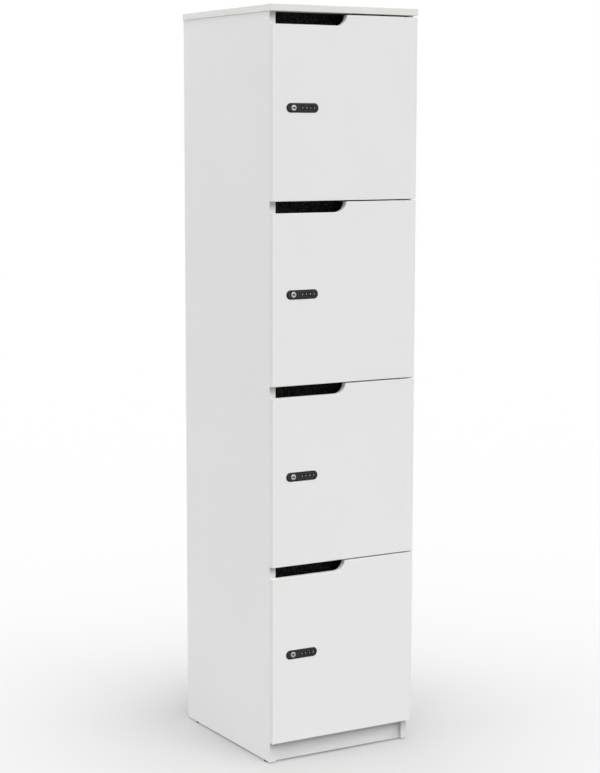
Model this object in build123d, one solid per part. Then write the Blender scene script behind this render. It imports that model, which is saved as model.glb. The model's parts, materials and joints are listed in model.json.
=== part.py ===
from build123d import *
import os

# Four-door locker of coated chipboard, 400 x 450 x 1800 mm
# Origin on the floor under the middle of the locker, X to the right, Y to the back, Z up

# Driving dimensions of the carcass
overall_width = 400.0
overall_depth = 450.0
overall_height = 1800.0
board = 16.0
back_thickness = 3.0
back_inset = 1.0
band = 1.0
edge_chamfer = 0.5
glide_height = 4.0
glide_front_setback = 26.0
glide_back_setback = 49.0
glide_sides = 24
plinth_height = 50.0
plinth_setback = 8.0
top_overhang = 3.0
door_overhang = 2.0

# Driving dimensions of the doors
door_count = 4
door_gap = 3.0
top_gap = 4.0
door_clearance = 1.2
grip_depth = 25.0
grip_length = 201.0
rail_height = 60.0
rail_setback = 22.0
buffer_radius = 4.0
buffer_thickness = 0.9
buffer_from_end = 40.0

# Driving dimensions of the combination lock
lock_length = 86.0
lock_height = 22.0
lock_from_edge = 80.0
bezel_thickness = 1.2
bezel_bevel_depth = 0.8
bezel_bevel_width = 2.0
body_length = 78.0
body_height = 18.4
body_corner = 2.0
body_clearance = 0.3
body_wall = 1.0
cavity_half = 8.2
window_wall = 0.8
window_width = 7.2
window_height = 8.4
cover_rim = 3.0
cover_depth = 5.5
cover_corner = 6.0
cover_bevel = 1.5
spindle_offset = -23.6
spindle_head_radius = 6.6
spindle_head_rise = 1.0
spindle_head_depth = 1.5
spindle_head_bevel = 0.5
spindle_recess_radius = 8.75
spindle_recess_depth = 0.7
barrel_radius = 5.5
wheel_count = 4
wheel_radius = 8.0
wheel_width = 6.4
wheel_pitch = 10.6
wheel_rise = 0.3
wheel_facets = 10
axle_radius = 1.2
key_slot_length = 7.6
key_slot_width = 3.2
key_slot_depth = 6.0
cam_length = 33.0
cam_width = 14.0
cam_thickness = 2.0
cam_gap = 1.0
nut_across = 11.0
nut_thickness = 3.0
strike_thickness = 1.5
strike_lip = 14.0
strike_depth = 26.0
strike_height = 36.0

# Driving dimensions of the concealed hinges
hinge_from_end = 85.0
cup_radius = 17.5
cup_depth = 11.5
cup_wall = 0.9
cup_from_edge = 21.0
cup_flange = 1.0
wing_width = 18.0
wing_length = 58.0
wing_corner = 4.0
wing_shift = 8.0
cup_pin_from_edge = 8.5
cup_pin_depth = 10.0
cup_pin_half = 11.0
arm_pin_from_edge = 33.0
arm_pin_depth = 12.0
pin_radius = 1.0
link_width = 9.0
link_thickness = 1.4
link_eye_radius = 2.0
link_bow = 3.8
link_bends = (0.3, 0.7)
arm_sheet = 1.2
arm_nose = 2.3
arm_length = 62.0
arm_web_from = 8.0
arm_taper = 6.0
arm_standoff = 5.5
cheek_clearance = 0.5
screw_line = 37.0
plate_thickness = 2.5
plate_width = 11.0
plate_length = 48.0
plate_rail_front = 20.0
plate_rail_back = 22.0
plate_rail_clearance = 0.3

# Fits and cuts
running_clearance = 0.05
pin_sides = 12
barrel_sides = 16
overcut = 1.0
edge_tolerance = 0.01

# Planes and heights that follow from them
lock_projection = bezel_thickness + spindle_head_rise
door_front = -overall_depth / 2 + lock_projection
door_back = door_front + board
carcass_front = door_back + door_clearance
carcass_back = overall_depth / 2
panels_back = carcass_back - back_thickness
carcass_half = overall_width / 2 - top_overhang
inner_half = carcass_half - board
door_half = carcass_half + door_overhang
base_underside = glide_height + plinth_height
top_underside = overall_height - board
door_zone = top_underside - top_gap - base_underside
door_height = (door_zone - (door_count - 1) * door_gap) / door_count
door_pitch = door_height + door_gap
bezel_face = door_front - bezel_thickness
cam_front = door_back + cover_depth + cam_gap
lock_x = -door_half + lock_from_edge
spindle_x = lock_x + spindle_offset
wheel_axis_y = bezel_face - wheel_rise + wheel_radius
cup_x = door_half - cup_from_edge
cup_pin = (door_half - cup_pin_from_edge, door_front + cup_pin_depth)
arm_pin = (door_half - arm_pin_from_edge, door_front + arm_pin_depth)
arm_left = arm_pin[0] - arm_nose


def door_bottom(number):
    """Height of a door's lower edge, door 1 being the top one."""
    return base_underside + (door_count - number) * door_pitch


def door_middle(number):
    return door_bottom(number) + door_height / 2


def door_top(number):
    return door_bottom(number) + door_height


def ceiling(number):
    """Underside of the panel above a compartment."""
    return top_underside if number == 1 else door_bottom(number - 1)


def block(x, y, z):
    """Box between two limits along each axis."""
    lows = (x[0], y[0], z[0])
    sizes = (x[1] - x[0], y[1] - y[0], z[1] - z[0])
    return Pos(*lows) * Box(*sizes, align=(Align.MIN, Align.MIN, Align.MIN))


def rod_along_y(x, z, radius, front, back):
    return Pos(x, front, z) * Rot(-90, 0, 0) * Cylinder(
        radius, back - front, align=(Align.CENTER, Align.CENTER, Align.MIN))


def slab_along_x(sketch, y, z, left, right):
    """A sketch drawn with its Y to the back, as a slab from left to right."""
    return Pos(left, y, z) * Rot(0, 90, 0) * extrude(sketch, amount=right - left)


def slab_along_y(sketch, x, z, front, back):
    """A sketch drawn with X to the right and Y up, as a slab from front to back."""
    return Pos(x, back, z) * Rot(90, 0, 0) * extrude(sketch, amount=back - front)


def edges_at(solid, axis, *places):
    """Edges of a solid that lie wholly in planes square to an axis."""
    found = ShapeList()
    for place in places:
        found += solid.edges().filter_by_position(axis, place - edge_tolerance, place + edge_tolerance)
    return found


def pin_section(radius):
    """Small pins and the holes for them are drawn with a few sides instead of a circle."""
    return RegularPolygon(radius, pin_sides)


def hole_section(radius):
    return RegularPolygon(radius, pin_sides, major_radius=False)


def barrel_hole(x, z, front, back):
    """Bore for a lock's barrel, in a piece that the barrel runs through."""
    hole = RegularPolygon(barrel_radius + running_clearance, barrel_sides, major_radius=False)
    return slab_along_y(hole, x, z, front, back)


def clipped(length, height, corner):
    """Rectangle with its four corners cut off."""
    sheet = Rectangle(length, height)
    return chamfer(sheet.vertices(), corner)


# Carcass

def banded_panel(x, y, z):
    """Board with an edge band on its front, both arrises eased."""
    whole = block(x, y, z)
    whole = chamfer(edges_at(whole, Axis.Y, y[0]), edge_chamfer)
    core = block((x[0] - overcut, x[1] + overcut), (y[0] + band, y[1] + overcut),
                 (z[0] - overcut, z[1] + overcut))
    return whole & core, whole - core


def top_panel():
    """Top with an edge band on all four sides."""
    half = overall_width / 2
    whole = block((-half, half), (door_front, panels_back), (top_underside, overall_height))
    whole = chamfer(edges_at(whole, Axis.Z, top_underside, overall_height), edge_chamfer)
    core = block((-half + band, half - band), (door_front + band, panels_back - band),
                 (top_underside - overcut, overall_height + overcut))
    return whole & core, whole - core


def finger_rail(number):
    """Black rail behind a door's grip cut-out, hung under the panel above."""
    front = carcass_front + rail_setback
    top = ceiling(number)
    rail = block((-inner_half, inner_half), (front, front + board), (top - rail_height, top))
    lower = edges_at(rail, Axis.Z, top - rail_height).filter_by(Axis.X)
    return chamfer(lower, edge_chamfer)


def glides():
    """Plastic glides nailed under the side panels."""
    foot = extrude(RegularPolygon(board / 2, glide_sides), amount=glide_height)
    side_middle = carcass_half - board / 2
    return [Pos(x, y, 0) * foot for x in (-side_middle, side_middle)
            for y in (carcass_front + glide_front_setback, carcass_back - glide_back_setback)]


def door_buffers():
    """Clear buffers on the left side panel's front edge, two for each door."""
    x = -carcass_half + board / 2
    heights = []
    for number in range(1, door_count + 1):
        heights.append(door_bottom(number) + buffer_from_end)
        heights.append(door_top(number) - grip_depth - buffer_from_end)
    return [slab_along_y(pin_section(buffer_radius), x, z, carcass_front - buffer_thickness, carcass_front)
            for z in heights]


# Doors

def door_outline(inset):
    """Front view of a door about its middle, with the grip cut-out at its upper left.

    The cut-out runs from the left edge to about the middle, where it ends in a quarter round.
    """
    top = door_height / 2
    straight = grip_length - grip_depth
    round_middle = straight - door_half
    sheet = Rectangle(2 * (door_half - inset), door_height - 2 * inset)
    slot = Pos(round_middle - straight / 2, top) * Rectangle(straight, 2 * (grip_depth + inset))
    end = Pos(round_middle, top) * Circle(grip_depth + inset)
    return sheet - slot - end


def wheel_x(position):
    """Middle of a number wheel, the fourth sitting in the bezel's round end."""
    last = lock_x + lock_length / 2 - wheel_pitch
    return last - (wheel_count - position) * wheel_pitch


def lock_body_outline(clearance=0.0):
    """Outline of the lock's body, or of the slot it stands in."""
    return clipped(body_length + 2 * clearance, body_height + 2 * clearance, body_corner)


def door_board(number):
    """Door board and its edge band, with the lock's slot and the bores for the hinge cups."""
    middle = door_middle(number)
    whole = slab_along_y(door_outline(0), 0, middle, door_front, door_back)
    whole = chamfer(edges_at(whole, Axis.Y, door_front, door_back), edge_chamfer)
    through = (door_front - overcut, door_back + overcut)
    core = slab_along_y(door_outline(band), 0, middle, *through)
    panel = (whole & core) - slab_along_y(lock_body_outline(body_clearance), lock_x, middle, *through)
    for z in hinge_heights(number):
        panel -= rod_along_y(cup_x, z, cup_radius, door_back - cup_depth, door_back + overcut)
    return panel, whole - core


def lock_bezel(z):
    """Pill-shaped bezel with a wide shallow bevel."""
    bezel = slab_along_y(SlotOverall(lock_length, lock_height), lock_x, z, bezel_face, door_front)
    front = bezel.faces().sort_by(Axis.Y)[0]
    return chamfer(front.edges(), bezel_bevel_width, bezel_bevel_depth, reference=front)


def lock_housing(number):
    """Bezel on the door's face with the lock's body through the door, open at the back.

    The number wheels look out of four windows, and their axle is fixed in the body.
    """
    z = door_middle(number)
    left = wheel_x(1) - wheel_pitch / 2
    right = wheel_x(wheel_count) + wheel_pitch / 2 - body_wall
    housing = lock_bezel(z) + slab_along_y(lock_body_outline(), lock_x, z, door_front, door_back)
    housing -= block((left, right), (bezel_face + window_wall, door_back + overcut),
                     (z - cavity_half, z + cavity_half))
    for position in range(1, wheel_count + 1):
        x = wheel_x(position)
        housing -= block((x - window_width / 2, x + window_width / 2),
                         (bezel_face - overcut, bezel_face + window_wall + overcut),
                         (z - window_height / 2, z + window_height / 2))
    housing -= rod_along_y(spindle_x, z, spindle_recess_radius, bezel_face - overcut,
                           bezel_face + spindle_recess_depth)
    housing -= barrel_hole(spindle_x, z, bezel_face - overcut, door_back + overcut)
    axle = pin_section(axle_radius)
    return housing + slab_along_x(axle, wheel_axis_y, z, left - body_wall, right + body_wall)


def lock_cover(number):
    """Cover on the inside of the door, which closes the lock and carries the spindle's end."""
    z = door_middle(number)
    outline = clipped(lock_length + 2 * cover_rim, lock_height + 2 * cover_rim, cover_corner)
    cover = slab_along_y(outline, lock_x, z, door_back, door_back + cover_depth)
    cover = chamfer(edges_at(cover, Axis.Y, door_back + cover_depth), cover_bevel)
    return cover - barrel_hole(spindle_x, z, door_back - overcut, cam_front)


def lock_spindle(number):
    """Silver head with its key slot, the barrel through the door, and the cam held by a nut.

    At rest the slot lies level and the cam points down, which is unlocked.
    """
    z = door_middle(number)
    head_front = bezel_face - spindle_head_rise
    head_back = head_front + spindle_head_depth
    cam_back = cam_front + cam_thickness
    head = rod_along_y(spindle_x, z, spindle_head_radius, head_front, head_back)
    head = chamfer(edges_at(head, Axis.Y, head_front), spindle_head_bevel)
    key_slot = slab_along_y(Rectangle(key_slot_length, key_slot_width), spindle_x, z,
                            head_front - overcut, head_front + key_slot_depth)
    barrel = slab_along_y(RegularPolygon(barrel_radius, barrel_sides), spindle_x, z, head_back, cam_front)

    half = cam_width / 2
    tip = Pos(0, half - cam_length) * Circle(half)
    blade = Pos(0, half - cam_length / 2) * Rectangle(cam_width, cam_length)
    cam = slab_along_y(tip + blade, spindle_x, z, cam_front, cam_back)
    nut = slab_along_y(RegularPolygon(nut_across / 2, 6, major_radius=False), spindle_x, z,
                       cam_back, cam_back + nut_thickness)
    return (head - key_slot) + (barrel - key_slot) + cam + nut


def number_wheel(number, position):
    """Number wheel with ten flats, one for each figure, and its bore."""
    outline = RegularPolygon(wheel_radius, wheel_facets) - hole_section(axle_radius + running_clearance)
    left = wheel_x(position) - wheel_width / 2
    return slab_along_x(outline, wheel_axis_y, door_middle(number), left, left + wheel_width)


def strike_plate(number):
    """Angle on the left side panel, behind whose lip the cam turns."""
    z = door_middle(number)
    height = (z - strike_height / 2, z + strike_height / 2)
    front = cam_front - cam_gap - strike_thickness
    left = -inner_half
    foot = block((left, left + strike_thickness), (front, front + strike_depth), height)
    lip = block((left, left + strike_lip), (front, front + strike_thickness), height)
    return foot + lip


# Concealed hinges, each with a cup in the door and an arm on the right side panel

def hinge_heights(number):
    return [door_bottom(number) + hinge_from_end, door_top(number) - hinge_from_end]


def pin(place, z, half):
    return Pos(place[0], place[1], z - half) * extrude(pin_section(pin_radius), amount=2 * half)


def hinge_cup(z):
    """Pressed cup let into the door's back, with its screw wings and the link's pin."""
    bottom = door_back - cup_depth
    top = door_back + cup_flange
    wings = clipped(wing_width, wing_length, wing_corner)
    cup = rod_along_y(cup_x, z, cup_radius, bottom, top)
    cup += slab_along_y(wings, cup_x - wing_shift, z, door_back, top)
    cup -= rod_along_y(cup_x, z, cup_radius - cup_wall, bottom + cup_wall, top + overcut)
    return cup + pin(cup_pin, z, cup_pin_half)


def hinge_link(z):
    """Bowed link from the arm's pin to the cup's pin."""
    start, end = Vector(*arm_pin), Vector(*cup_pin)
    across = Vector(end.Y - start.Y, start.X - end.X).normalized()
    bends = [start + (end - start) * share + across * link_bow for share in link_bends]
    strip = trace(Polyline(start, *bends, end), link_thickness)
    eyes = [Pos(*place) * pin_section(link_eye_radius) for place in (arm_pin, cup_pin)]
    holes = [Pos(*place) * hole_section(pin_radius + running_clearance) for place in (arm_pin, cup_pin)]
    outline = strip + eyes - holes
    return Pos(0, 0, z - link_width / 2) * extrude(outline, amount=link_width)


def hinge_arm(z):
    """Sheet arm with two cheeks, reaching forward into the cup, and the link's other pin."""
    cheek_gap = link_width / 2 + cheek_clearance
    outer_half = cheek_gap + arm_sheet
    back = carcass_front + arm_length
    web_front = carcass_front + arm_web_from
    right = inner_half - arm_standoff
    shank = make_face(Polyline(
        (arm_left, arm_pin[1]), (arm_pin[0] + arm_nose, arm_pin[1]), (right, web_front + arm_taper),
        (right, back), (arm_left, back), close=True))
    outline = shank + Pos(*arm_pin) * pin_section(arm_nose)
    body = Pos(0, 0, z - outer_half) * extrude(outline, amount=2 * outer_half)
    between = (z - cheek_gap, z + cheek_gap)
    fork = block((arm_left - overcut, inner_half), (arm_pin[1] - arm_nose - overcut, web_front), between)
    channel = block((arm_left + arm_sheet, inner_half), (web_front - overcut, back + overcut), between)
    return body - fork - channel + pin(arm_pin, z, outer_half)


def hinge_plate(z):
    """Cross-shaped mounting plate on the side panel, with the rail that the arm clips on."""
    middle = carcass_front + screw_line
    rail_half = link_width / 2 - plate_rail_clearance
    wings = block((inner_half - plate_thickness, inner_half),
                  (middle - plate_width / 2, middle + plate_width / 2),
                  (z - plate_length / 2, z + plate_length / 2))
    rail = block((arm_left + arm_sheet, inner_half),
                 (middle - plate_rail_front, middle + plate_rail_back),
                 (z - rail_half, z + rail_half))
    return wings + rail


# Assembly into nodes

nodes = {}


def add(name, *solids):
    nodes[name] = list(solids)


bands = []
side_depth = (carcass_front, panels_back)
for side_name, side_x in (("left_side_panel", (-carcass_half, -inner_half)),
                          ("right_side_panel", (inner_half, carcass_half))):
    panel, edging = banded_panel(side_x, side_depth, (glide_height, top_underside))
    add(side_name, panel)
    bands.append(edging)

panel, edging = top_panel()
add("top_panel", panel)
bands.append(edging)

shelf_floors = {"base_panel": base_underside}
for number in range(1, door_count):
    shelf_floors[f"shelf_{number}"] = door_bottom(number)
for shelf_name, underside in shelf_floors.items():
    panel, edging = banded_panel((-inner_half, inner_half), side_depth, (underside, underside + board))
    add(shelf_name, panel)
    bands.append(edging)

add("back_panel", block((-carcass_half + back_inset, carcass_half - back_inset), (panels_back, carcass_back),
                        (base_underside, top_underside - back_inset)))
add("plinth_board", block((-inner_half, inner_half),
                          (carcass_front + plinth_setback, carcass_front + plinth_setback + board),
                          (glide_height, base_underside)))
add("carcass_edge_bands", *bands)
add("finger_rails", *[finger_rail(number) for number in range(1, door_count + 1)])
add("glides", *glides())
add("door_buffers", *door_buffers())

all_hinges = [z for number in range(1, door_count + 1) for z in hinge_heights(number)]
add("hinge_arms", *[hinge_arm(z) for z in all_hinges])
add("hinge_plates", *[hinge_plate(z) for z in all_hinges])
add("strike_plates", *[strike_plate(number) for number in range(1, door_count + 1)])

for number in range(1, door_count + 1):
    panel, edging = door_board(number)
    add(f"door_{number}_panel", panel)
    add(f"door_{number}_edge_band", edging)
    add(f"door_{number}_hinge_cups", *[hinge_cup(z) for z in hinge_heights(number)])
    add(f"door_{number}_hinge_links", *[hinge_link(z) for z in hinge_heights(number)])
    add(f"door_{number}_lock_housing", lock_housing(number))
    add(f"door_{number}_lock_cover", lock_cover(number))
    add(f"door_{number}_lock_spindle", lock_spindle(number))
    for position in range(1, wheel_count + 1):
        add(f"door_{number}_wheel_{position}", number_wheel(number, position))

os.makedirs("parts", exist_ok=True)
for name, solids in nodes.items():
    pieces = [solid for shape in solids for solid in shape.solids()]
    shape = pieces[0] if len(pieces) == 1 else Compound(children=pieces)
    shape.label = name
    export_step(shape, f"parts/{name}.step")
print(len(nodes), "nodes")
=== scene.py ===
import json
import math

import bmesh
import bpy
from mathutils import Matrix, Vector


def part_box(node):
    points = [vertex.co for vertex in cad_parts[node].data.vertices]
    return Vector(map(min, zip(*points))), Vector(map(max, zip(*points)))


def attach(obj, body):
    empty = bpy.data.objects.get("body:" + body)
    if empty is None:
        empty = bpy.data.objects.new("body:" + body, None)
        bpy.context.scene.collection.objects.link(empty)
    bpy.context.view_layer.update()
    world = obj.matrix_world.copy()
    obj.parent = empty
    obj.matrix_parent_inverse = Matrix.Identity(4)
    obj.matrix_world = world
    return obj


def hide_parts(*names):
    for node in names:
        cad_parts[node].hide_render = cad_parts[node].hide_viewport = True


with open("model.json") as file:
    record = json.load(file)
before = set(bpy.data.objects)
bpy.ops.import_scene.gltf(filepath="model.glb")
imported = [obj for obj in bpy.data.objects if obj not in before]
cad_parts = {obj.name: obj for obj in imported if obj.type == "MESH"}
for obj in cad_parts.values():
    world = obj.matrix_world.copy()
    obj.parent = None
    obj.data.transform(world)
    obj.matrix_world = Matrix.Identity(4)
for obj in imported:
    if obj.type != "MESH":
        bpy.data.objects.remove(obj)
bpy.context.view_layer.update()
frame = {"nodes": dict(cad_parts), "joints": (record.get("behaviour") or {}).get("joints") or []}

MM = 0.001
DOORS = range(1, 5)
WHEELS = range(1, 5)
FIGURES = range(10)


# Camera, as the photograph was taken: in front of the locker and to its left

def add_camera():
    location = Vector((-2.4028, -4.0684, 1.5056))
    turn_right = 0.52249
    tilt_down = 0.13683
    data = bpy.data.cameras.new("camera")
    data.sensor_width = 36.0
    data.lens = 89.08
    data.shift_x = 0.0303
    data.shift_y = 0.0140
    camera = bpy.data.objects.new("camera", data)
    camera.location = location
    camera.rotation_euler = (math.pi / 2 - tilt_down, 0, -turn_right)
    bpy.context.scene.collection.objects.link(camera)
    bpy.context.scene.camera = camera


# Materials

class Look:
    """A material with one surface shader, and short calls that add texture nodes to it."""

    def __init__(self, name, roughness, metallic=0.0, specular=0.5, soft_edge=0.0):
        self.material = bpy.data.materials.new(name)
        self.material.use_nodes = True
        self.tree = self.material.node_tree
        self.tree.nodes.clear()
        output = self.node("ShaderNodeOutputMaterial")
        self.shader = self.node("ShaderNodeBsdfPrincipled")
        self.link(self.shader.outputs["BSDF"], output.inputs["Surface"])
        self.shader.inputs["Roughness"].default_value = roughness
        self.shader.inputs["Metallic"].default_value = metallic
        self.shader.inputs["Specular IOR Level"].default_value = specular
        self.place = self.node("ShaderNodeTexCoord").outputs["Object"]
        if soft_edge:
            rounding = self.node("ShaderNodeBevel", samples=4)
            rounding.inputs["Radius"].default_value = soft_edge
            self.link(rounding.outputs["Normal"], self.shader.inputs["Normal"])

    def node(self, kind, **settings):
        node = self.tree.nodes.new(kind)
        for key, value in settings.items():
            setattr(node, key, value)
        return node

    def link(self, output, socket):
        self.tree.links.new(output, socket)

    def stretched(self, x, y, z):
        """The object's own coordinates, stretched along each axis."""
        mapping = self.node("ShaderNodeMapping")
        mapping.inputs["Scale"].default_value = (x, y, z)
        self.link(self.place, mapping.inputs["Vector"])
        return mapping.outputs["Vector"]

    def noise(self, size, detail=2.0, place=None):
        """Noise from 0 to 1 whose features are about that size, in metres."""
        node = self.node("ShaderNodeTexNoise")
        node.inputs["Scale"].default_value = 1 / size
        node.inputs["Detail"].default_value = detail
        self.link(place or self.place, node.inputs["Vector"])
        return node.outputs["Fac"]

    def cells(self, size, feature="SMOOTH_F1"):
        node = self.node("ShaderNodeTexVoronoi", feature=feature)
        node.inputs["Scale"].default_value = 1 / size
        self.link(self.place, node.inputs["Vector"])
        return node.outputs["Distance"]

    def span(self, value, low, high, start=0.3, end=0.7):
        """A value's stretch from start to end, spread from low to high."""
        node = self.node("ShaderNodeMapRange")
        for name, number in (("From Min", start), ("From Max", end), ("To Min", low), ("To Max", high)):
            node.inputs[name].default_value = number
        self.link(value, node.inputs["Value"])
        return node.outputs["Result"]

    def math(self, operation, first, second):
        node = self.node("ShaderNodeMath", operation=operation)
        for socket, value in zip(node.inputs, (first, second)):
            if isinstance(value, float):
                socket.default_value = value
            else:
                self.link(value, socket)
        return node.outputs["Value"]

    def mixed(self, share, first, second):
        """A colour between two, each given as numbers or as an output."""
        node = self.node("ShaderNodeMix", data_type="RGBA")
        self.link(share, node.inputs["Factor"])
        for socket, colour in ((node.inputs[6], first), (node.inputs[7], second)):
            if isinstance(colour, tuple):
                socket.default_value = (*colour, 1)
            else:
                self.link(colour, socket)
        return node.outputs[2]

    def colour(self, output):
        self.link(output, self.shader.inputs["Base Color"])

    def roughness(self, output):
        self.link(output, self.shader.inputs["Roughness"])

    def bump(self, height, depth, strength=1.0):
        """Relief of that depth, in metres. A second call lies on the first."""
        node = self.node("ShaderNodeBump")
        node.inputs["Strength"].default_value = strength
        node.inputs["Distance"].default_value = depth
        self.link(height, node.inputs["Height"])
        socket = self.shader.inputs["Normal"]
        if socket.is_linked:
            self.link(socket.links[0].from_socket, node.inputs["Normal"])
        self.link(node.outputs["Normal"], socket)


def facing(look, axis, sign, start=0.6, end=0.9):
    """1 on faces that look along an axis, otherwise 0."""
    split = look.node("ShaderNodeSeparateXYZ")
    look.link(look.node("ShaderNodeTexCoord").outputs["Normal"], split.inputs["Vector"])
    return look.span(split.outputs[axis], 0.0, 1.0, start * sign, end * sign)


def chipboard_colour(look):
    """Pressed wood chips, as bare board edges show them."""
    pale_chip, dark_chip, bark = (0.55, 0.40, 0.24), (0.36, 0.24, 0.13), (0.20, 0.12, 0.06)
    chips = look.cells(2.2 * MM, "F1")
    flecks = look.noise(0.9 * MM, 4.0)
    wood = look.mixed(look.span(chips, 0.0, 1.0, 0.1, 0.8), pale_chip, dark_chip)
    return look.mixed(look.span(flecks, 0.0, 0.6, 0.45, 0.75), wood, bark)


def melamine(name, pale, shade, bare_edges=False):
    """Coated board: a nearly even tone, a fine pearl relief and slightly uneven gloss."""
    look = Look(name, 0.45, specular=0.35, soft_edge=0.4 * MM)
    tone = look.mixed(look.span(look.noise(0.28, 3.0), 0.0, 1.0), pale, shade)
    if bare_edges:
        tone = look.mixed(facing(look, "Y", 1), tone, chipboard_colour(look))
    look.colour(tone)
    look.roughness(look.span(look.noise(2.5 * MM, 3.0), 0.40, 0.50))
    look.bump(look.cells(1.1 * MM), 0.03 * MM, 0.5)
    look.bump(look.noise(0.45 * MM, 2.0), 0.015 * MM, 0.5)
    return look.material


def edge_band(name, rim=None):
    """Plastic edge band, a shade warmer and smoother than the board's coating.

    A door's band shows its own thickness at the front, as a rim in the board's tone.
    """
    pale, shade = (0.762, 0.754, 0.727), (0.748, 0.740, 0.712)
    look = Look(name, 0.38, specular=0.35, soft_edge=0.4 * MM)
    tone = look.mixed(look.span(look.noise(0.12, 2.0), 0.0, 1.0), pale, shade)
    if rim:
        tone = look.mixed(facing(look, "Y", -1), tone, rim)
    look.colour(tone)
    look.roughness(look.span(look.noise(1.5 * MM, 3.0), 0.33, 0.43))
    look.bump(look.noise(0.6 * MM, 3.0), 0.02 * MM, 0.5)
    return look.material


def black_board():
    """Black coated board with fine pale specks."""
    black, speck = (0.0015, 0.0015, 0.0016), (0.044, 0.044, 0.045)
    look = Look("black_board", 0.5, specular=0.03, soft_edge=0.4 * MM)
    specks = look.span(look.noise(2.4 * MM, 3.0), 0.0, 1.0, 0.44, 0.66)
    look.colour(look.mixed(specks, black, speck))
    look.roughness(look.span(look.noise(2.0 * MM, 2.0), 0.42, 0.58))
    look.bump(look.cells(1.0 * MM), 0.04 * MM, 0.6)
    return look.material


def moulded(name, dark, pale, roughness, grain, specular=0.3, face=None):
    """Moulded plastic with a spark-eroded grain, and a paler tone on its flat face if one is given; the
    rims and bevels then keep the darker tone as painted dark reflection.
    """
    look = Look(name, roughness, specular=specular, soft_edge=0.15 * MM)
    tone = look.mixed(look.span(look.noise(4.0 * MM, 3.0), 0.0, 1.0), dark, pale)
    if face:
        # The flat front face is paler and the rims darker: painted dark reflection on the rims.
        tone = look.mixed(facing(look, "Y", -1, 0.96, 0.99), tone, face)
    look.colour(tone)
    look.roughness(look.span(look.noise(1.2 * MM, 3.0), roughness - 0.06, roughness + 0.06))
    look.bump(look.noise(grain, 2.0), 0.03 * MM, 0.6)
    return look.material


def metal(name, pale, shade, roughness, scratch=(1, 1, 1)):
    """Plated metal with faint marks from rolling or polishing."""
    look = Look(name, roughness, metallic=1.0, soft_edge=0.2 * MM)
    look.colour(look.mixed(look.span(look.noise(6.0 * MM, 3.0), 0.0, 1.0), pale, shade))
    marks = look.noise(0.5 * MM, 4.0, look.stretched(*scratch))
    look.roughness(look.span(marks, roughness - 0.08, roughness + 0.10))
    look.bump(marks, 0.004 * MM, 0.4)
    return look.material


def clear_rubber():
    """Soft plastic that lets a part of the light through."""
    pale, shade, clearness = (0.90, 0.90, 0.88), (0.80, 0.80, 0.77), 0.25
    look = Look("clear_rubber", 0.3)
    look.colour(look.mixed(look.noise(2.0 * MM), pale, shade))
    look.shader.inputs["Transmission Weight"].default_value = clearness
    look.bump(look.noise(0.8 * MM), 0.03 * MM, 0.5)
    return look.material


def dress(material, *nodes):
    """Gives a material to CAD nodes, in place of the plain one they come with."""
    for name in nodes:
        data = frame["nodes"][name].data
        data.materials.clear()
        data.materials.append(material)


def per_door(*endings):
    return [f"door_{number}_{ending}" for number in DOORS for ending in endings]


def dress_frame():
    white, white_shade = (0.795, 0.795, 0.793), (0.780, 0.780, 0.780)
    back_white, back_shade = (0.78, 0.78, 0.775), (0.765, 0.765, 0.76)
    deep_black, deep_shade, face_paler_than_painted_rims = (0.003, 0.003, 0.003), (0.005, 0.005, 0.005), (0.027, 0.027, 0.028)
    cover_black, cover_shade = (0.020, 0.020, 0.021), (0.028, 0.028, 0.029)
    glide_black, glide_shade = (0.012, 0.012, 0.012), (0.020, 0.020, 0.020)
    satin, satin_shade = (0.47, 0.46, 0.46), (0.40, 0.39, 0.39)
    nickel, nickel_shade = (0.74, 0.72, 0.69), (0.66, 0.64, 0.61)
    zinc, zinc_shade = (0.66, 0.67, 0.69), (0.56, 0.57, 0.60)

    dress(melamine("white_board", white, white_shade), "top_panel", "base_panel", "shelf_1", "shelf_2",
          "shelf_3", "plinth_board", *per_door("panel"))
    dress(melamine("side_board", white, white_shade, bare_edges=True), "left_side_panel",
          "right_side_panel")
    dress(melamine("back_board", back_white, back_shade), "back_panel")
    dress(edge_band("edge_band"), "carcass_edge_bands")
    dress(edge_band("door_edge_band", rim=white), *per_door("edge_band"))
    dress(black_board(), "finger_rails")
    # Lock housing: the deep black of its rims is painted dark reflection, set against its paler face.
    dress(moulded("lock_plastic", deep_black, deep_shade, 0.42, 0.5 * MM, specular=0.12, face=face_paler_than_painted_rims),
          *per_door("lock_housing"))
    dress(moulded("cover_plastic", cover_black, cover_shade, 0.42, 0.5 * MM), *per_door("lock_cover"))
    dress(moulded("wheel_plastic", deep_black, deep_shade, 0.42, 0.4 * MM, specular=0.08),
          *per_door(*[f"wheel_{position}" for position in WHEELS]))
    dress(moulded("glide_plastic", glide_black, glide_shade, 0.5, 0.6 * MM), "glides")
    dress(metal("satin_nickel", satin, satin_shade, 0.34), *per_door("lock_spindle"))
    dress(metal("nickel_steel", nickel, nickel_shade, 0.24, (1, 0.15, 1)), "hinge_arms", "hinge_plates",
          *per_door("hinge_cups", "hinge_links"))
    dress(metal("zinc_steel", zinc, zinc_shade, 0.36, (1, 1, 0.2)), "strike_plates")


# Added pieces

def add_mesh(name, mesh, material, body):
    """Adds a mesh as a piece that rides on a body."""
    piece = bpy.data.objects.new(name, mesh)
    bpy.context.scene.collection.objects.link(piece)
    mesh.materials.clear()
    mesh.materials.append(material)
    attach(piece, body)
    return piece


def turned(profile, segments):
    """A solid turned about Z from a profile of radii and heights that starts and ends on the axis."""
    build = bmesh.new()
    line = [build.verts.new((radius, 0, height)) for radius, height in profile]
    edges = [build.edges.new(pair) for pair in zip(line, line[1:])]
    bmesh.ops.spin(build, geom=line + edges, cent=(0, 0, 0), axis=(0, 0, 1), angle=math.tau, steps=segments,
                   use_merge=True)
    bmesh.ops.remove_doubles(build, verts=build.verts, dist=0.001 * MM)
    bmesh.ops.recalc_face_normals(build, faces=build.faces)
    mesh = bpy.data.meshes.new("turned")
    build.to_mesh(mesh)
    build.free()
    return mesh


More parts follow.
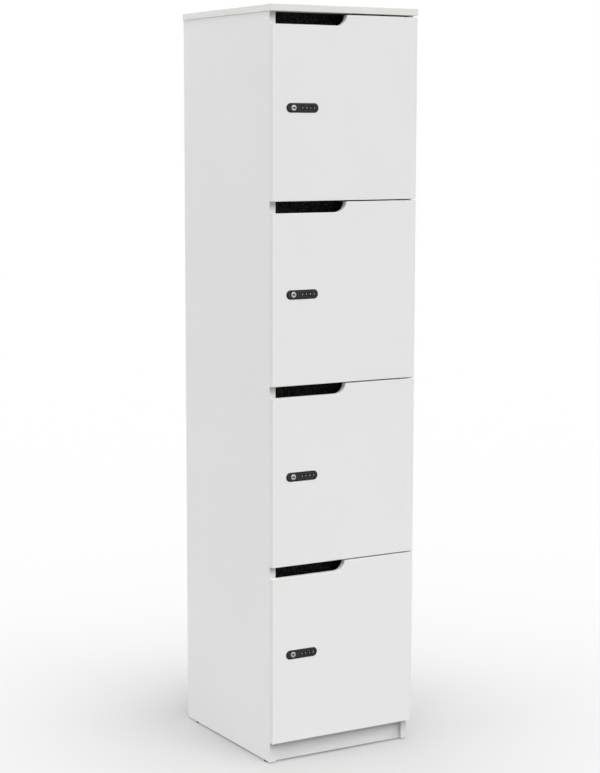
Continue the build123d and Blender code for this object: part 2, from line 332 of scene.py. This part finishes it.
def bar(x, y, z):
    """A plain block between two limits along each axis, to carve with or to carve."""
    build = bmesh.new()
    bmesh.ops.create_cube(build, size=1.0)
    for vertex in build.verts:
        for axis, (low, high) in enumerate((x, y, z)):
            vertex.co[axis] = low if vertex.co[axis] < 0 else high
    mesh = bpy.data.meshes.new("bar")
    build.to_mesh(mesh)
    build.free()
    return mesh


def carved(mesh, *cutters):
    """A mesh with others cut out of it."""
    collection = bpy.context.scene.collection
    holder = bpy.data.objects.new("holder", mesh)
    collection.objects.link(holder)
    tools = []
    for cutter in cutters:
        tool = bpy.data.objects.new("tool", cutter)
        collection.objects.link(tool)
        tools.append(tool)
        cut = holder.modifiers.new("cut", "BOOLEAN")
        cut.operation = "DIFFERENCE"
        cut.solver = "EXACT"
        cut.object = tool
    shown = holder.evaluated_get(bpy.context.evaluated_depsgraph_get())
    result = bpy.data.meshes.new_from_object(shown)
    for item in (holder, *tools):
        bpy.data.objects.remove(item)
    return result


def screw_head(radius, height):
    """Raised head with a cross recess, standing on the plane Z = 0 and facing +Z."""
    sunk, recess_depth = 0.2 * MM, 0.75 * MM
    wall, steps = 0.35 * height, 5
    profile = [(0, -sunk), (radius, -sunk), (radius, wall)]
    for step in range(1, steps):
        angle = step / steps * math.pi / 2
        profile.append((radius * math.cos(angle), wall + (height - wall) * math.sin(angle)))
    profile.append((0, height))
    arm, half = 0.55 * radius, 0.11 * radius
    depth = (height - recess_depth, height + MM)
    return carved(turned(profile, 24), bar((-arm, arm), (-half, half), depth),
                  bar((-half, half), (-arm, arm), depth))


def placed(mesh, point, direction, turn=0.0):
    """A mesh and the matrix that stands its Z along a direction at a point."""
    aim = Vector(direction).to_track_quat("Z", "Y").to_matrix().to_4x4()
    return mesh, Matrix.Translation(point) @ aim @ Matrix.Rotation(turn, 4, "Z")


def driven(parts, screw, point, direction):
    """Adds a screw, turned differently from the one before it, as screws end where they are tight."""
    turn_step = 2.4
    parts.append(placed(screw, point, direction, turn_step * len(parts)))


def hinge_heights(number):
    """Heights of a door's two hinges, in the middle of their cups' screw wings."""
    wing_half = 29 * MM
    low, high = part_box(f"door_{number}_hinge_cups")
    return low.z + wing_half, high.z - wing_half


def cup_screws(number, screw):
    cup_radius, wing_shift, spacing = 17.5 * MM, 8 * MM, 24 * MM
    cup_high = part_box(f"door_{number}_hinge_cups")[1]
    x = cup_high.x - cup_radius - wing_shift
    screws = []
    for height in hinge_heights(number):
        for way in (-1, 1):
            driven(screws, screw, (x, cup_high.y, height + way * spacing), (0, 1, 0))
    return screws


def cover_screws(number, screw):
    from_middle = 40 * MM
    low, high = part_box(f"door_{number}_lock_cover")
    middle = (low + high) / 2
    screws = []
    for way in (-1, 1):
        driven(screws, screw, (middle.x + way * from_middle, high.y, middle.z), (0, 1, 0))
    return screws


def carcass_screws(screw):
    """Screws of the mounting plates, of the hinge arms clipped on them, and of the strike plates."""
    plate_thickness, plate_rail_front, plate_spacing = 2.5 * MM, 20 * MM, 16 * MM
    arm_screw_places = (-15 * MM, 14 * MM)
    strike_thickness, strike_screw_line, strike_spacing = 1.5 * MM, 17 * MM, 10 * MM
    plates_low, plates_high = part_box("hinge_plates")
    arms_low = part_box("hinge_arms")[0]
    strikes_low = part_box("strike_plates")[0]
    plate_face = plates_high.x - plate_thickness
    plate_middle = plates_low.y + plate_rail_front
    strike_point = strikes_low + Vector((strike_thickness, strike_screw_line, 0))
    screws = []
    for number in DOORS:
        for height in hinge_heights(number):
            for way in (-1, 1):
                driven(screws, screw, (plate_face, plate_middle, height + way * plate_spacing), (-1, 0, 0))
            for place in arm_screw_places:
                driven(screws, screw, (arms_low.x, plate_middle + place, height), (-1, 0, 0))
        low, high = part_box(f"door_{number}_lock_cover")
        for way in (-1, 1):
            height = (low.z + high.z) / 2 + way * strike_spacing
            driven(screws, screw, (strike_point.x, strike_point.y, height), (1, 0, 0))
    return screws


def back_panel_nails():
    """Nails driven flush into the side panels' rear edges, and into those of the floor panels."""
    head = ((0, -0.2), (1.8, -0.2), (1.8, 0.02), (1.6, 0.04), (0, 0.04))
    nail = turned([(radius * MM, height * MM) for radius, height in head], 16)
    from_side, from_end, rows = 7 * MM, 30 * MM, 14
    places_across = (-0.3, -0.1, 0.1, 0.3)
    low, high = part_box("back_panel")
    nails = []
    for row in range(rows):
        height = low.z + from_end + row * (high.z - low.z - 2 * from_end) / (rows - 1)
        for x in (low.x + from_side, high.x - from_side):
            nails.append(placed(nail, (x, high.y, height), (0, 1, 0)))
    for board in ("base_panel", "shelf_1", "shelf_2", "shelf_3"):
        board_low, board_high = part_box(board)
        for across in places_across:
            point = (across * (high.x - low.x), high.y, (board_low.z + board_high.z) / 2)
            nails.append(placed(nail, point, (0, 1, 0)))
    return nails


def add_fastenings():
    """Screws of the hinges, strike plates and lock covers, and the nails of the back panel."""
    pale, shade = (0.70, 0.69, 0.67), (0.60, 0.59, 0.57)
    large_radius, large_height = 3.6 * MM, 1.1 * MM
    small_radius, small_height = 2.6 * MM, 0.5 * MM
    material = metal("screw_steel", pale, shade, 0.26)
    large, small = screw_head(large_radius, large_height), screw_head(small_radius, small_height)
    pieces = {"carcass_screws": (carcass_screws(large), "carcass"),
              "back_panel_nails": (back_panel_nails(), "carcass")}
    for number in DOORS:
        pieces[f"door_{number}_cup_screws"] = (cup_screws(number, large), f"door_{number}")
        pieces[f"door_{number}_cover_screws"] = (cover_screws(number, small), f"door_{number}")
    for name, (parts, body) in pieces.items():
        add_mesh(name, joined(name, parts), material, body)


def add_keyways():
    """Core with a narrow keyway in the slot of every lock's head, near-black: a real part, coloured as
    painted shade for the dark inside of the keyhole.
    """
    # Near-black tones: painted shade of the deep keyhole, on the lock's core.
    dark, shade = (0.002, 0.002, 0.002), (0.004, 0.004, 0.004)
    material = moulded("keyway", dark, shade, 0.5, 0.3 * MM, specular=0.05)
    length, width, front, back = 7.5 * MM, 3.1 * MM, 0.5 * MM, 5.9 * MM
    half_way, half_gap, way_depth = 0.38 * length, 0.22 * width, 3 * MM
    block = bar((-length / 2, length / 2), (front, back), (-width / 2, width / 2))
    way = bar((-half_way, half_way), (front - MM, front + way_depth), (-half_gap, half_gap))
    core = carved(block, way)
    for joint in frame["joints"]:
        if not joint["name"].endswith("_lock_turn"):
            continue
        door = joint["name"].removesuffix("_lock_turn")
        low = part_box(f"{door}_lock_spindle")[0]
        place = Matrix.Translation((joint["pos_m"][0], low.y, joint["pos_m"][2]))
        mesh = joined("keyway", [(core, place)])
        add_mesh(f"{door}_keyway", mesh, material, joint["child"])


def add_buffers():
    """Clear domed buffers in place of the plain discs, two for each door."""
    above_door_bottom, below_door_top = 40 * MM, 65 * MM
    low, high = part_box("door_buffers")
    radius, thickness = (high.x - low.x) / 2, high.y - low.y
    profile = [(0, 0), (radius, 0)]
    steps = 6
    for step in range(1, steps):
        angle = step / steps * math.pi / 2
        profile.append((radius * math.cos(angle), thickness * math.sin(angle)))
    profile.append((0, thickness))
    dome = turned(profile, 32)
    domes = []
    for number in DOORS:
        door_low, door_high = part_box(f"door_{number}_edge_band")
        for height in (door_low.z + above_door_bottom, door_high.z - below_door_top):
            domes.append(placed(dome, ((low.x + high.x) / 2, high.y, height), (0, -1, 0)))
    mesh = joined("clear_buffers", domes)
    piece = add_mesh("clear_buffers", mesh, clear_rubber(), "carcass")
    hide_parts("door_buffers")


def joined(name, parts):
    """One mesh from several, each given with the matrix that puts it in place."""
    build = bmesh.new()
    for mesh, matrix in parts:
        copy = mesh.copy()
        copy.transform(matrix)
        build.from_mesh(copy)
        bpy.data.meshes.remove(copy)
    result = bpy.data.meshes.new(name)
    build.to_mesh(result)
    build.free()
    return result


def figure_mesh(figure, height, relief):
    """A figure that stands up along Z and faces -Y, centred on the origin."""
    bolder = 0.018
    text = bpy.data.curves.new(f"figure_{figure}", "FONT")
    text.body = str(figure)
    text.align_x = "CENTER"
    text.align_y = "CENTER"
    text.extrude = relief / 2
    text.offset = bolder
    text.resolution_u = 3
    holder = bpy.data.objects.new("figure_holder", text)
    mesh = bpy.data.meshes.new_from_object(holder)
    bpy.data.objects.remove(holder)
    bpy.data.curves.remove(text)
    points = [vertex.co for vertex in mesh.vertices]
    low = Vector(min(point[axis] for point in points) for axis in range(3))
    high = Vector(max(point[axis] for point in points) for axis in range(3))
    scale = height / (high.y - low.y)
    middle = (low + high) / 2
    mesh.transform(Matrix.Diagonal((scale, scale, 1, 1)) @ Matrix.Translation((-middle.x, -middle.y, 0)))
    mesh.transform(Matrix.Rotation(math.pi / 2, 4, "X"))
    return mesh


def add_figures():
    """The figures 0 to 9 round every number wheel, 0 at the front at rest."""
    height, relief = 3.1 * MM, 0.04 * MM
    paint, worn_paint = (0.86, 0.86, 0.84), (0.76, 0.76, 0.74)
    look = Look("figure_paint", 0.45)
    look.colour(look.mixed(look.noise(0.4 * MM, 3.0), paint, worn_paint))
    look.bump(look.noise(0.2 * MM), 0.01 * MM, 0.4)
    figures = [figure_mesh(figure, height, relief) for figure in FIGURES]
    for joint in frame["joints"]:
        if "_wheel_" not in joint["name"]:
            continue
        node = joint["name"].removesuffix("_turn")
        low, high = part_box(node)
        to_flat = (high.y - low.y) / 2
        centre, out = Matrix.Translation(joint["pos_m"]), Matrix.Translation((0, -to_flat, 0))
        parts = []
        for figure in FIGURES:
            turn = Matrix.Rotation(figure * math.tau / len(FIGURES), 4, "X")
            parts.append((figures[figure], centre @ turn @ out))
        add_mesh(f"{node}_figures", joined(f"{node}_figures", parts), look.material, joint["child"])


# Stage and light

def add_floor():
    """Pale floor that keeps the object's rendered shadow near it, and adds painted shadow: it is darker
    close to the object's middle by distance alone and fades to white away from it.
    """
    reach, painted_shadow_radius = 16.0, 0.43
    # Dark seen tones: with the fade below, they give the floor a painted shadow close to the object.
    pale, shade, unseen = (0.460, 0.460, 0.460), (0.450, 0.450, 0.450), (0.22, 0.22, 0.22)
    build = bmesh.new()
    bmesh.ops.create_circle(build, cap_ends=True, segments=96, radius=reach)
    mesh = bpy.data.meshes.new("floor")
    build.to_mesh(mesh)
    build.free()
    floor = bpy.data.objects.new("floor", mesh)
    bpy.context.scene.collection.objects.link(floor)

    look = Look("floor", 0.6)
    seen = seen_rays(look.tree)
    tone = look.mixed(look.noise(0.4, 3.0), pale, shade)
    look.colour(look.mixed(seen, unseen, tone))
    look.shader.inputs["Specular IOR Level"].default_value = 0.15
    # The white share grows with distance from the object's middle. Nearer in, the darker seen tone stays as
    # painted shadow, on top of the rendered one.
    distance = look.node("ShaderNodeVectorMath", operation="LENGTH")
    look.link(look.place, distance.inputs[0])
    squared = look.math("POWER", distance.outputs["Value"], 2.0)
    fade = look.math("DIVIDE", squared, look.math("ADD", squared, painted_shadow_radius ** 2))
    share = look.math("MULTIPLY", fade, seen)
    white = look.node("ShaderNodeEmission")
    mix = look.node("ShaderNodeMixShader")
    look.link(share, mix.inputs["Fac"])
    look.link(look.shader.outputs["BSDF"], mix.inputs[1])
    look.link(white.outputs["Emission"], mix.inputs[2])
    output = next(node for node in look.tree.nodes if node.type == "OUTPUT_MATERIAL")
    look.link(mix.outputs["Shader"], output.inputs["Surface"])
    mesh.materials.append(look.material)


def seen_rays(tree):
    """1 for rays from the camera or by way of metal and glass, otherwise 0."""
    path = tree.nodes.new("ShaderNodeLightPath")
    total = path.outputs["Is Camera Ray"]
    for name in ("Is Glossy Ray", "Is Transmission Ray"):
        add = tree.nodes.new("ShaderNodeMath")
        add.operation = "MAXIMUM"
        tree.links.new(total, add.inputs[0])
        tree.links.new(path.outputs[name], add.inputs[1])
        total = add.outputs["Value"]
    return total


def add_world():
    """White where it is seen, and a faint even light otherwise."""
    light_level, white_colour = 0.01, (1, 1, 1, 1)
    world = bpy.data.worlds.new("studio")
    bpy.context.scene.world = world
    world.use_nodes = True
    tree = world.node_tree
    tree.nodes.clear()
    output = tree.nodes.new("ShaderNodeOutputWorld")
    soft = tree.nodes.new("ShaderNodeBackground")
    soft.inputs["Strength"].default_value = light_level
    soft.inputs["Color"].default_value = white_colour
    white = tree.nodes.new("ShaderNodeBackground")
    white.inputs["Color"].default_value = white_colour
    mix = tree.nodes.new("ShaderNodeMixShader")
    tree.links.new(seen_rays(tree), mix.inputs["Fac"])
    tree.links.new(soft.outputs["Background"], mix.inputs[1])
    tree.links.new(white.outputs["Background"], mix.inputs[2])
    tree.links.new(mix.outputs["Shader"], output.inputs["Surface"])


def add_soft_sun(name, azimuth, elevation, strength):
    """A far, wide lamp, which lights the whole height evenly and casts soft shadows.

    Angles are in degrees. Azimuth 0 is in front of the doors, and 90 is on the right.
    """
    width = 32
    data = bpy.data.lights.new(name, "SUN")
    data.energy = strength
    data.angle = math.radians(width)
    lamp = bpy.data.objects.new(name, data)
    lamp.rotation_euler = (math.pi / 2 - math.radians(elevation), 0, math.radians(azimuth))
    bpy.context.scene.collection.objects.link(lamp)


def add_lights():
    """Strengths at which the boards look as pale as in the photo.

    Seen from above, the top panel just reaches full white.
    """
    add_soft_sun("left_lamp", -90, 15, 1.84)
    add_soft_sun("front_lamp", 22, 38, 1.64)
    add_soft_sun("high_lamp", -24, 65, 1.9)
    add_soft_sun("right_lamp", 70, 15, 1.4)
    add_soft_sun("back_lamp", 180, 15, 1.35)


add_camera()
dress_frame()
add_figures()
add_keyways()
add_fastenings()
add_buffers()
add_floor()
add_world()
add_lights()
bpy.context.scene.view_settings.view_transform = "Standard"
